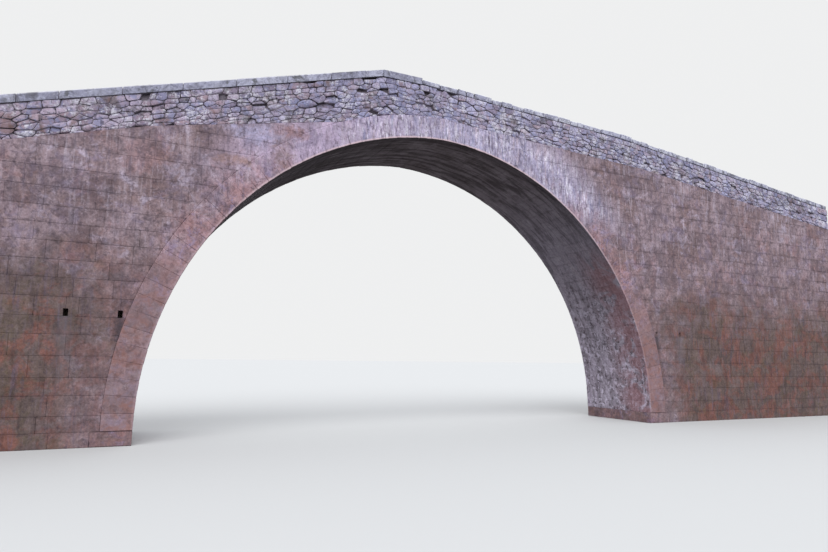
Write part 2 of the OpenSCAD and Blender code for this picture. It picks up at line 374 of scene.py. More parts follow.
def add_face_stone(stones, corners, place, dressing, tone=None, thinnest=0.022):
    """A stone of which one face shows; place turns outline coordinates and depth into points.

    Gives back how deep the rim of its face lies, or nothing if the outline has no room for a stone.
    """
    corners = tidy_outline(corners)
    if len(corners) < 3:
        return None
    thickness = half_thickness(corners)
    if thickness < thinnest:
        return None
    draw = stones.random
    worn = min(dressing.worn * draw.uniform(*EDGE_WEAR), 0.45 * (thickness - dressing.joint / 2))
    sides, shares = outline_shares(corners, dressing.spacing, dressing.corner * draw.uniform(*CORNER_WEAR))
    count = len(sides)
    centre = corners.mean(axis=0)
    uneven = draw.uniform(0, dressing.wobble, count)
    uneven = 1 - (uneven + np.roll(uneven, 1)) / 2
    sink = draw.uniform(0, dressing.sink)
    lean = draw.uniform(-dressing.tilt, dressing.tilt, 2)
    sink += np.abs(lean) @ np.abs(corners - centre).max(axis=0)

    def outline(inset):
        inner = inset_outline(corners, dressing.joint / 2 + inset)
        flat = inner[sides] * (1 - shares) + np.roll(inner, -1, axis=0)[sides] * shares
        return centre + (flat - centre) * uneven[:, None]

    def face_depth(flat, share):
        return sink + (flat - centre) @ lean + dressing.bulge * share**2

    rings, depths, edges = [outline(0.0)], [np.full(count, dressing.depth)], [1.0]
    for inset, depth, edge in EDGE_RINGS:
        rings.append(outline(inset * worn))
        depths.append(depth * worn + face_depth(rings[-1], 1.0))
        edges.append(edge)
    rim = rings[-1]
    for share in FACE_RINGS if thickness > FINE_FROM else ():
        rings.append(centre + (rim - centre) * share)
        depths.append(face_depth(rings[-1], share))
        edges.append(0.0)
    flat = np.concatenate([*rings, centre[None]])
    depth = np.concatenate([*depths, face_depth(centre[None], 0.0)])
    points = place(flat[:, 0], flat[:, 1], depth)
    outward = place(flat[:, 0], flat[:, 1], depth - 1) - points
    outward /= np.linalg.norm(outward, axis=1)[:, None]
    rough = np.full(len(points), dressing.rough * draw.uniform(*FACE_WEAR))
    rough[:count] = 0

    sheet = wrapped(len(rings), count)
    last = sheet[:, -1].tolist()
    faces = quads(sheet) + [[a, b, len(points) - 1] for a, b in zip(last, last[1:])]
    faces.append(list(range(count - 1, -1, -1)))
    if mirrored(place, centre):
        faces = [face[::-1] for face in faces]
    if tone is None:
        tone = draw.uniform(0, 1, 3)
    stones.add(points, outward, rough, np.append(np.repeat(edges, count), 0.0), faces, tone)
    return float(np.max(face_depth(rim, 1.0))) + rough[-1]


def add_pointing(stones, corners, place, depth):
    """The mortar around one rubble stone, from a little behind its face back into the bed."""
    corners = tidy_outline(corners)
    count = len(corners)
    if count < 3:
        return
    flat = np.concatenate([corners, corners])
    points = place(flat[:, 0], flat[:, 1], np.repeat([depth, MORTAR_DEPTH["rubble"]], count))
    faces = [list(range(count))] + quads(wrapped(2, count)[:, ::-1])
    if mirrored(place, corners.mean(axis=0)):
        faces = [face[::-1] for face in faces]
    stones.add_mortar(points, faces)


EVEN = ((1, 1, 1), (1, 1, 1))


def add_block(stones, corners, parts, dressing, gaps, wear=EVEN):
    """A whole stone between eight corners, indexed [a][b][c], with worn edges and gaps along each axis.

    Wear scales the edges' radius at the low and at the high end of each axis.
    """
    corners = np.asarray(corners, float).reshape(2, 2, 2, 3)
    draw = stones.random
    spans = np.array([np.diff(corners, axis=axis).reshape(-1, 3).mean(axis=0) for axis in range(3)])
    lengths = np.linalg.norm(spans, axis=1)
    half, axes = lengths / 2, spans / lengths[:, None]
    worn = dressing.worn * draw.uniform(*EDGE_WEAR) * np.array(wear)
    low_worn, high_worn = np.minimum(worn, 0.4 * half.min())
    lines = []
    for size, low, high, part in zip(half, low_worn, high_worn, parts):
        lines.append([-size, *np.linspace(low - size, size - high, part + 1), size])
    grid = np.stack(np.meshgrid(*lines, indexing="ij"), axis=-1)
    outside = np.ones(grid.shape[:3], bool)
    outside[1:-1, 1:-1, 1:-1] = False
    number = np.cumsum(outside).reshape(outside.shape) - 1
    grid = grid[outside]
    core = np.clip(grid, low_worn - half, half - high_worn)
    away = np.sign(grid - core)
    away = away / np.linalg.norm(away, axis=1)[:, None]
    local = (core + np.where(away > 0, high_worn, low_worn) * away) / half
    edge = (np.sum(np.abs(away) > 0.1, axis=1) > 1).astype(float)
    share = (local * (1 - np.asarray(gaps) / half) + 1) / 2
    points = np.zeros((len(share), 3))
    for index in np.ndindex(2, 2, 2):
        weight = np.prod(np.where(index, share, 1 - share), axis=1)
        points += weight[:, None] * corners[index]

    inside_out = np.dot(np.cross(axes[0], axes[1]), axes[2]) < 0
    faces = []
    for axis in range(3):
        for end in (0, -1):
            flip = ((end == 0) != (axis == 1)) != inside_out
            faces += [face[::-1] if flip else face for face in quads(np.moveaxis(number, axis, 0)[end])]
    rough = dressing.rough * draw.uniform(*FACE_WEAR)
    stones.add(points, away @ axes, rough, edge, faces, draw.uniform(0, 1, 3))


def add_core(stones, node, inner):
    """The mortar bed of a wall: the node's mesh, pulled in below the faces of the stones."""
    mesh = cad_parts[node].data
    points = np.empty(3 * len(mesh.vertices))
    mesh.vertices.foreach_get("co", points)
    points, number = np.unique(points.reshape(-1, 3).round(5), axis=0, return_inverse=True)
    number = number.reshape(-1)
    faces = [number[list(polygon.vertices)].tolist() for polygon in mesh.polygons]
    depth = MORTAR_DEPTH["wall"]
    points[:, 1] = np.clip(points[:, 1], depth - FACE, FACE - depth)
    points[:, 0] = np.clip(points[:, 0], depth - HALF_LENGTH, HALF_LENGTH - depth)
    points[:, 0] = np.sign(points[:, 0]) * np.maximum(np.abs(points[:, 0]), inner)
    stones.add_mortar(points, [face for face in faces if len(set(face)) == len(face)])


def add_band(stones, low_line, high_line, y0, y1, tone=PLAIN_TONE):
    """The mortar bed between two lines of X and Z points, from y0 to y1 across the bridge."""
    rows = ((low_line, y0), (low_line, y1), (high_line, y0), (high_line, y1))
    points = np.array([(x, y, z) for line, y in rows for x, z in line])
    sheet = np.arange(len(points)).reshape(4, -1)[[0, 2, 3, 1, 0]].T
    faces = quads(sheet) + [sheet[0, :4].tolist(), sheet[-1, 3::-1].tolist()]
    if low_line[0][0] > low_line[-1][0]:
        faces = [face[::-1] for face in faces]
    stones.add_mortar(points, faces, tone)


# Places on the bridge: each turns outline coordinates and a depth into points


def wall_place(face):
    """X and Z on a side wall."""
    return lambda u, v, depth: np.stack([u, face * (FACE - depth), v], axis=1)


def end_place(side, x, towards=1):
    """Y and Z on a plane across the road; towards is -1 where it faces the arch's opening."""
    return lambda u, v, depth: np.stack([side * (x - towards * depth), u, v], axis=1)


def parapet_place(face, y, towards):
    """X and height over the road's bed; towards is 1 for the outer side and -1 for the inner one."""
    return lambda u, v, depth: np.stack([u, face * (y - towards * depth), bed_z(u) + v], axis=1)


def road_place(u, v, depth):
    """X and Y on the road's surface."""
    return np.stack([u, v, top_z(u) - PARAPET_H - depth], axis=1)


def arc_point(side, turn, depth):
    """X and Z of a point on one half of the arch: turn is 0 at the springing and 1 at the crown."""
    radius = ARC_R + depth
    angle = turn * np.arccos(ARC_OFFSET / radius)
    return side * (radius * np.cos(angle) - ARC_OFFSET), SPRINGING + radius * np.sin(angle)


def soffit_place(side):
    """Y and length along the underside from the springing."""

    def place(u, v, depth):
        x, z = arc_point(side, v / HALF_ARC, depth)
        return np.stack([x, u, z], axis=1)

    return place


# Courses of the walls, the same all round the bridge
COURSE_LOW, COURSE_HIGH = 0.34, 0.46
SLIVER = 0.14
# Shortest and longest stones of the side walls, the end walls, the abutments' inner sides and the vault
SIDE_WALL_LENGTHS = (0.48, 0.98)
END_WALL_LENGTHS = (0.45, 0.8)
FOOT_LENGTHS = (0.5, 0.85)
VAULT_LENGTHS = (0.42, 0.8)
QUOIN_LENGTHS = (0.78, 0.52)
QUOIN_DEPTH = 0.44

# Weep holes of the walls over the abutments, as the frame has them
WEEP_W, WEEP_H, WEEP_SILL = 0.09, 0.15, 2.54
WEEP_XS = (7.375, 8.355)


def course_levels():
    """Heights of the bed joints from the ground up, among them the springing and the weep holes' sill."""
    draw = random_for("courses")
    room = WEEP_SILL - SPRINGING
    parts = draw.uniform(COURSE_LOW, COURSE_HIGH, round(2 * room / (COURSE_LOW + COURSE_HIGH)))
    levels = [0.0, SPRINGING, *(SPRINGING + np.cumsum(parts) * room / parts.sum())]
    while levels[-1] < coping_high.z:
        levels.append(levels[-1] + draw.uniform(COURSE_LOW, COURSE_HIGH))
    return levels


LEVELS = course_levels()


def arch_back_x(z):
    """Distance from the middle to the back of the arch ring at a height, or 0 above the crown."""
    if z <= SPRINGING:
        return HALF_SPAN
    room = BACK_R**2 - (z - SPRINGING) ** 2
    return max(0.0, math.sqrt(room) - ARC_OFFSET) if room > 0 else 0.0


def reach_of_level(side, z):
    """Distance from the middle to which the walls' top stays above a height, on one side."""
    xs = np.linspace(FOOT_START[side][0], HALF_LENGTH, 400)
    above = xs[wall_top(side, xs) >= z]
    return float(above[-1]) if len(above) else 0.0


def split_run(draw, start, end, shortest, longest, avoid=(), forced=()):
    """Places of the upright joints along a course, clear of the joints below it."""
    marks = [start, *(mark for mark in sorted(forced) if start + 0.1 < mark < end - 0.1), end]
    joints = [start]
    for here, mark_end in zip(marks, marks[1:]):
        while mark_end - here > longest:
            here += draw.uniform(shortest, longest)
            if any(abs(here - other) < 0.09 for other in avoid):
                here += 0.14
            if mark_end - here > 0.4 * shortest:
                joints.append(here)
        joints.append(mark_end)
    return joints


def cut_to_wall(side, near, far, low, top):
    """One wall stone's outline in X and Z, cut along the arch's back and the walls' top."""
    x0, x1 = ordered(side, near, far)
    corners = rectangle(x0, low, x1, top)
    marks = (FOOT_START[side][0], FOOT_X, HALF_LENGTH)
    for ends in zip(marks, marks[1:]):
        (x0, z0), (x1, z1) = sorted((side * x, float(wall_top(side, x))) for x in ends)
        corners = clipped(corners, (x0, z0), (z1 - z0, x0 - x1))
    if low >= SPRINGING and corners:
        centre = np.array([-side * ARC_OFFSET, SPRINGING])
        away = np.mean(corners, axis=0) - centre
        away /= np.linalg.norm(away)
        corners = clipped(corners, centre + away * BACK_R, away)
    return corners


def notched_for_weeps(corners, low):
    """An outline with its lower corners cut back where a weep hole opens at its upright joint."""
    if abs(low - WEEP_SILL) > 0.01:
        return corners
    notched = []
    middle = sum(x for x, z in corners) / len(corners)
    for x, z in corners:
        if z < low + 0.01 and min(abs(abs(x) - weep) for weep in WEEP_XS) < 0.01:
            back = x + math.copysign(WEEP_W / 2, middle - x)
            steps = [(x, z + WEEP_H), (back, z + WEEP_H), (back, z)]
            notched += steps if x < middle else steps[::-1]
        else:
            notched.append((x, z))
    return notched


def wall_stones(face, side):
    """The face stones of one half of a wall, sorted into those of the wing, the spandrel and the foot."""
    name = f"{FACES[face]}_wing_{SIDES[side]}"
    wing, spandrel = stones_of(name), stones_of(name.replace("wing", "spandrel"))
    foot = stones_of(f"{SIDES[side]}_abutment")
    draw = random_for("joints" + name)
    joints = []
    for row, (low, high) in enumerate(zip(LEVELS, LEVELS[1:])):
        inner = arch_back_x(high) if row else HALF_SPAN + QUOIN_LENGTHS[0]
        outer = min(HALF_LENGTH - QUOIN_LENGTHS[row % 2], reach_of_level(side, low + SLIVER))
        if outer - inner < 0.15:
            continue
        step = reach_of_level(side, high + SLIVER)
        holes = WEEP_XS if abs(low - WEEP_SILL) < 0.01 else ()
        joints = split_run(draw, inner, outer, *SIDE_WALL_LENGTHS, joints, [step, *holes])
        for near, far in zip(joints, joints[1:]):
            corners = cut_to_wall(side, near, far, low, high + SLIVER if near >= step - 1e-6 else high)
            if len(corners) >= 3:
                inside = spandrel if row else foot
                stones = wing if (near + far) / 2 > ABUTMENT_BACK else inside
                add_face_stone(stones, notched_for_weeps(corners, low), wall_place(face), ASHLAR)


def box_corners(xs, ys, lows, highs):
    """Eight corners of a block whose bottom and top follow a line along X, indexed [x][y][z]."""
    return [[[(x, y, low), (x, y, high)] for y in ys] for x, low, high in zip(xs, lows, highs)]


def end_courses(side):
    """Row, bottom and top of each course at an end of the bridge; the last one reaches the road's bed."""
    end_top = float(bed_z(side * HALF_LENGTH))
    for row, (low, high) in enumerate(zip(LEVELS, LEVELS[1:])):
        if low <= end_top - SLIVER:
            yield row, low, high if high <= end_top - SLIVER else end_top


def wing_quoins(face, side):
    """The corner stones at the outer end of a wing, long and short in turn."""
    stones = stones_of(f"{FACES[face]}_wing_{SIDES[side]}")
    ys = ordered(face, FACE, FACE - WALL_T)
    end_top = float(bed_z(side * HALF_LENGTH))
    for row, low, high in end_courses(side):
        xs = ordered(side, HALF_LENGTH, HALF_LENGTH - QUOIN_LENGTHS[row % 2])
        highs = [float(bed_z(x)) if high == end_top else high for x in xs]
        add_block(stones, box_corners(xs, ys, [low] * 2, highs), (4, 3, 3), QUOIN, (0.005, 0, 0.005))


def lay_course(stones, half, low, high, lengths, place, dressing, below=()):
    """A course of face stones that runs as far to both sides of the middle; gives back its joints."""
    joints = split_run(stones.random, -half, half, *lengths, below)
    for start, end in zip(joints, joints[1:]):
        add_face_stone(stones, rectangle(start, low, end, high), place, dressing)
    return joints


def end_wall_stones(side):
    """The stones of the wall that closes one end."""
    stones, place = stones_of(f"{SIDES[side]}_end_wall"), end_place(side, HALF_LENGTH)
    joints = []
    for _, low, high in end_courses(side):
        joints = lay_course(stones, FACE - WALL_T, low, high, END_WALL_LENGTHS, place, ASHLAR, joints)


def abutment_stones(side):
    """The corner stones and the inner side of the course under the springing."""
    stones = stones_of(f"{SIDES[side]}_abutment")
    xs = ordered(side, HALF_SPAN, HALF_SPAN + QUOIN_LENGTHS[0])
    for face in FACES:
        corners = box_corners(xs, ordered(face, FACE, FACE - QUOIN_DEPTH), [0, 0], [SPRINGING, SPRINGING])
        add_block(stones, corners, (4, 3, 3), QUOIN, (0.004, 0.005, 0.004))
    place = end_place(side, HALF_SPAN, -1)
    lay_course(stones, FACE - QUOIN_DEPTH, 0, SPRINGING, FOOT_LENGTHS, place, ASHLAR)


RING_JOINT = 0.005


def ring_stones(face, side):
    """The arch stones of one face, from the springing to the crown."""
    stones = stones_of(f"{FACES[face]}_ring_{SIDES[side]}")
    for i in range(VOUSSOIRS):
        proud = stones.random.uniform(0.010, 0.014)
        lift = stones.random.uniform(0, 0.004)
        ys = ordered(face, RING_FACE - proud, HALF_VAULT)
        corners = []
        for turn in (i / VOUSSOIRS, (i + 1) / VOUSSOIRS):
            ends = [arc_point(side, turn, depth) for depth in (lift, RING_DEPTH)]
            corners.append([[(x, y, z) for x, z in ends] for y in ys])
        add_block(stones, corners, (2, 3, 4), VOUSSOIR, (RING_JOINT / 2, 0, 0))


def vault_stones(side):
    """The stones of the underside between the two rings, in courses that run on from theirs."""
    stones = stones_of(f"vault_{SIDES[side]}")
    joints = []
    for i in range(VOUSSOIRS):
        low, high = i / VOUSSOIRS * HALF_ARC, (i + 1) / VOUSSOIRS * HALF_ARC
        joints = lay_course(stones, HALF_VAULT, low, high, VAULT_LENGTHS, soffit_place(side), SOFFIT, joints)


# Rubble of the parapets: flat stones in rough courses, with gaps and a few large ones
ROW_HEIGHTS = (0.075, 0.135)
STEP_LOW, STEP_HIGH = 0.12, 0.38
ROW_SHAKE = 0.025
INNER_SCALE = 1.45
LYING = 0.5
OUTLINE_REACH = 0.6
SUNKEN_SHARE = 0.06
THINNEST_RUBBLE = 0.016
NEIGHBOURS = 20
END_LENGTH = 0.45
END_HEIGHTS = (0.0, 0.29, 0.53, BED_DROP - COPING_H)
# How far the mortar between the rubble lies behind the stones' rims: nearly flush, or washed out
FLUSH_POINTING = (0.001, 0.008)
WASHED_POINTING = (0.016, 0.045)
FLUSH_SHARE = 0.74
DARK_STONE = (0.02, 0.2, 0.1)
PALE_STONE = (0.98, 0.2, 0.9)
# Middle along X, height, clear half length and half height, tone
LARGE_STONES = ((-3.67, 7.79, 0.38, 0.17, DARK_STONE), (-5.80, 7.69, 0.40, 0.14, PALE_STONE))
# Middle along X and height of the stones that have fallen out
FALLEN = ((-2.08, 8.75), (-1.95, 7.90), (-3.60, 8.36), (-2.26, 8.39))
FALLEN += ((-5.62, 7.56), (-7.16, 7.26), (-0.45, 8.68), (0.33, 8.81))
FALLEN_SIZE = (0.08, 0.04)


def large_stones(draw, face, low, high):
    """The large stones of a parapet's face and the gaps in it, with the room that each keeps clear."""
    found = []
    if face == FRONT:
        for x, z, *rest in [*LARGE_STONES, *((x, z, *FALLEN_SIZE, None) for x, z in FALLEN)]:
            found.append((x, z - float(bed_z(x)), *rest))
    here = -HALF_LENGTH + 1
    while here < HALF_LENGTH - 1:
        length = draw.uniform(0.16, 0.30)
        place = (here, draw.uniform(low + 0.1, high - 0.1), length, 0.42 * length)
        if all(abs(place[0] - other[0]) > place[2] + other[2] for other in found):
            found.append((*place, tuple(draw.uniform(0, 1, 3))))
        here += draw.uniform(0.5, 2.2)
    return found


def rubble_middles(draw, low, high, scale, large):
    """Middles of rubble stones along a parapet, between two heights over the road's bed."""
    middles = []
    height = low + draw.uniform(0.02, 0.06) * scale
    while height < high:
        here = -HALF_LENGTH + draw.uniform(0, STEP_HIGH)
        while here < HALF_LENGTH:
            place = (here, height + draw.uniform(-ROW_SHAKE, ROW_SHAKE) * scale)
            if not any(((place[0] - x) / a) ** 2 + ((place[1] - z) / b) ** 2 < 1 for x, z, a, b, _ in large):
                middles.append(place)
            here += draw.uniform(STEP_LOW, STEP_HIGH) * scale
        height += draw.uniform(*ROW_HEIGHTS) * scale
    return np.array(middles + [(x, z) for x, z, *_ in large])


def rubble_outlines(middles):
    """The outline around each middle, its sides halfway to the neighbours, seen as if stones were squat."""
    flat = middles * (LYING, 1.0)
    for here in flat:
        away = flat - here
        corners = rectangle(*(here - OUTLINE_REACH), *(here + OUTLINE_REACH))
        for other in np.argsort((away**2).sum(axis=1))[1:NEIGHBOURS]:
            corners = clipped(corners, here + away[other] / 2, -away[other])
        yield [(x / LYING, z) for x, z in corners]


def cut_to_band(corners, foot, top):
    """A rubble outline cut along the coping's underside and the foot of the rubble."""
    corners = clipped(corners, (0, top), (0, -1))
    if len(corners) < 3:
        return []
    left, right = min(x for x, z in corners), max(x for x, z in corners)
    low_left, low_right = foot(left), foot(right)
    return clipped(corners, (left, low_left), (low_left - low_right, right - left))


def half_at(kind, face, x):
    """The stones of the half of a parapet or coping that holds a place along the road."""
    left = f"{FACES[face]}_{kind}_left"
    return stones_of(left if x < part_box(left)[1].x else f"{FACES[face]}_{kind}_right")


def rubble_side(draw, face, y, towards, foot, scale):
    """The rubble of the outer or the inner side of one parapet."""
    top = BED_DROP - COPING_H
    lowest = min(foot(x) for x in np.linspace(-HALF_LENGTH, HALF_LENGTH, 200))
    large = large_stones(draw, face, lowest, top) if towards > 0 else []
    middles = rubble_middles(draw, lowest, top, scale, large)
    tones = {(x, z): tone for x, z, _, _, tone in large}
    place = parapet_place(face, y, towards)
    for (x, height), outline in zip(middles, rubble_outlines(middles)):
        lost = draw.uniform() < SUNKEN_SHARE
        if abs(x) > HALF_LENGTH - END_LENGTH or height < foot(x) - 0.05:
            continue
        corners = cut_to_band(outline, foot, top)
        chosen = (x, height) in tones
        tone = tones.get((x, height))
        if len(corners) < 3 or (chosen and tone is None):
            continue
        stones = half_at("parapet", face, x)
        dressing = BOULDER if chosen else SUNKEN if lost else RUBBLE
        rim = add_face_stone(stones, corners, place, dressing, tone, THINNEST_RUBBLE)
        behind = draw.uniform(*(FLUSH_POINTING if draw.uniform() < FLUSH_SHARE else WASHED_POINTING))
        if rim is not None and rim + behind < MORTAR_DEPTH["rubble"]:
            add_pointing(stones, corners, place, rim + behind)


def parapet_stones(face):
    """The rubble of one parapet, outside, inside and at its two ends."""
    draw = random_for("rubble" + FACES[face])
    rubble_side(draw, face, FACE, 1, lambda x: float(rubble_foot(x) - bed_z(x)), 1)
    rubble_side(draw, face, HALF_ROAD, -1, lambda x: PAVING_T, INNER_SCALE)
    for side in SIDES:
        xs = ordered(side, HALF_LENGTH, HALF_LENGTH - END_LENGTH - 0.1)
        for heights in zip(END_HEIGHTS, END_HEIGHTS[1:]):
            lows, highs = ([bed_z(x) + height for x in xs] for height in heights)
            corners = box_corners(xs, ordered(face, FACE, HALF_ROAD), lows, highs)
            add_block(half_at("parapet", face, xs[0]), corners, (4, 3, 2), END_STONE, (0, 0, 0.004))


# The upper edges are worn more than the lower ones, and the ends less
COPING_WEAR = ((0.6, 1, 0.4), (0.6, 1, 2.4))


def coping_stones(face):
    """The coping of one parapet: long dressed stones left of the summit, shorter rounded ones right of it."""
    draw = random_for("coping" + FACES[face])
    here = -HALF_LENGTH
    while here < HALF_LENGTH - 0.05:
        smooth = here < ROAD_X[2]
        end = here + (draw.uniform(0.70, 1.30) if smooth else draw.uniform(0.24, 0.60))
        for bend in ROAD_X[1:]:
            if here < bend - 0.05 and end > bend - 0.25:
                end = bend
        lower = draw.uniform(0, 0.008 if smooth else 0.045)
        inner = draw.uniform(0.008, 0.022 if smooth else 0.045)
        outer = draw.uniform(0.030, 0.042 if smooth else 0.060)
        lifted = draw.uniform(0, 0.003 if smooth else 0.012)
        xs, ys = (here, end), ordered(face, COPING_FACE - outer, COPING_FACE - COPING_T + inner)
        lows, highs = [top_z(x) - COPING_H + lifted for x in xs], [top_z(x) - lower for x in xs]
        dressing, gap = (SMOOTH_COPING, 0.002) if smooth else (ROUGH_COPING, 0.008)
        stones = half_at("coping", face, (here + end) / 2)
        add_block(stones, box_corners(xs, ys, lows, highs), (6, 4, 2), dressing, (gap, 0, 0), COPING_WEAR)
        here = end


COBBLE_SHAKE = 0.009


def road_stones():
    """The paving: rows of rounded stones across the road."""
    draw = random_for("road")
    here = -HALF_LENGTH
    while here < HALF_LENGTH - 0.05:
        end = here + draw.uniform(0.14, 0.23)
        if HALF_LENGTH - end < 0.12:
            end = HALF_LENGTH
        joints = split_run(draw, -HALF_ROAD, HALF_ROAD, 0.13, 0.30)
        middle = (here + end) / 2
        name = "left" if middle < crown_road_low.x else "crown" if middle < crown_road_high.x else "right"
        for y0, y1 in zip(joints, joints[1:]):
            shaken = np.array(rectangle(here, y0, end, y1))
            shaken += draw.uniform(-COBBLE_SHAKE, COBBLE_SHAKE, (4, 2))
            shaken = np.clip(shaken, (-HALF_LENGTH, -HALF_ROAD), (HALF_LENGTH, HALF_ROAD))
            add_face_stone(stones_of(f"{name}_paving"), shaken, road_place, COBBLE)
        here = end


# The mortar beds behind the stones


def arch_bed(stones, side, y0, y1):
    """The mortar behind the arch stones of one half."""
    turns = [i / VOUSSOIRS for i in range(VOUSSOIRS + 1)]
    depths = (MORTAR_DEPTH["soffit"], RING_DEPTH)
    add_band(stones, *([arc_point(side, turn, depth) for turn in turns] for depth in depths), y0, y1)


def bed_ends(node, end_depth):
    """Where a node's mortar bed starts and ends along the road, short of the bridge's ends."""
    low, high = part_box(node)
    return max(low.x, end_depth - HALF_LENGTH), min(high.x, HALF_LENGTH - end_depth)


def road_bed(stones, node, drop_low, drop_high, y0, y1, end_depth):
    """The mortar of a piece that follows the road, between two drops below the coping's top."""
    x0, x1 = bed_ends(node, end_depth)
    xs = [x0, *(x for x in ROAD_X if x0 < x < x1), x1]
    add_band(stones, *([(x, top_z(x) - drop) for x in xs] for drop in (drop_low, drop_high)), y0, y1)


def rubble_bed(stones, node, y0, y1, end_depth):
    """The mortar behind the rubble of a parapet piece."""
    arch_xs = [arc_point(side, i / VOUSSOIRS, RING_DEPTH)[0] for side in SIDES for i in range(VOUSSOIRS)]
    arch_xs = [x for x in arch_xs if -FOOT_START[LEFT][0] < x < FOOT_START[RIGHT][0]]
    x0, x1 = bed_ends(node, end_depth)
    marks = [*ROAD_X, -FOOT_X, FOOT_X, 0.0, FOOT_START[RIGHT][0], *arch_xs]
    xs = [x0, *sorted({round(float(x), 4) for x in marks if x0 + 0.01 < x < x1 - 0.01}), x1]
    low_line = [(x, float(rubble_foot(x))) for x in xs]
    # The bed behind the rubble takes the dark tone: painted shade where it shows in the gaps
    add_band(stones, low_line, [(x, top_z(x) - COPING_H) for x in xs], y0, y1, SHADED_BED_TONE)


def add_bed(stones, node):
    """The mortar bed of one piece, as deep behind the stones' faces as its kind has it."""
    side = LEFT if "left" in node else RIGHT
    face = BACK if "back" in node else FRONT
    if "ring" in node:
        arch_bed(stones, side, *ordered(face, RING_FACE - MORTAR_DEPTH["ring"], HALF_VAULT))
    elif "vault" in node:
        arch_bed(stones, side, -HALF_VAULT, HALF_VAULT)
    elif "parapet" in node:
        depth = MORTAR_DEPTH["rubble"]
        rubble_bed(stones, node, *ordered(face, FACE - depth, HALF_ROAD + depth), depth)
    elif "coping" in node:
        depth = COPING_MORTAR[side]
        ys = ordered(face, COPING_FACE - depth, COPING_FACE - COPING_T + depth)
        road_bed(stones, node, COPING_H, depth, *ys, depth)
    elif "paving" in node:
        road_bed(stones, node, BED_DROP, PARAPET_H + MORTAR_DEPTH["road"], -HALF_ROAD, HALF_ROAD, 0.01)
    else:
        add_core(stones, node, HALF_SPAN + MORTAR_DEPTH["wall"] if "abutment" in node else 0.0)


# Materials


def colour(*screen):
    """A colour written as it looks on a screen, from 0 to 255, as the shaders want it."""
    shares = [value / 255 for value in screen]
    curve = (share / 12.92 if share <= 0.04045 else ((share + 0.055) / 1.055) ** 2.4 for share in shares)
    return (*curve, 1.0)


class Graph:
    """The nodes of a material or of the world, built up with short calls."""

    def __init__(self, owner):
        owner.use_nodes = True
        self.nodes, self.links = owner.node_tree.nodes, owner.node_tree.links

    def put(self, node, inputs):
        """Links or sets a node's inputs, which are listed in their order or named."""
        for key, value in inputs.items() if isinstance(inputs, dict) else enumerate(inputs):
            if isinstance(value, bpy.types.NodeSocket):
                self.links.new(value, node.inputs[key])
            else:
                node.inputs[key].default_value = value

    def add(self, kind, inputs=(), **settings):
        """Adds a node and gives back its outputs."""
        node = self.nodes.new("ShaderNode" + kind)
        for name, value in settings.items():
            setattr(node, name, value)
        self.put(node, inputs)
        return node.outputs

    def calc(self, operation, *values):
        return self.add("Math", values, operation=operation)[0]

    def times(self, first, *others):
        for other in others:
            first = self.calc("MULTIPLY", first, other)
        return first

    def mix(self, share, first, second, blend="MIX"):
        """A mix of two colours; three numbers are a colour as it looks on a screen."""
        first, second = (colour(*c) if isinstance(c, tuple) and len(c) == 3 else c for c in (first, second))
        inputs = {0: share, 6: first, 7: second}
        return self.add("Mix", inputs, data_type="RGBA", blend_type=blend, clamp_factor=True)[2]


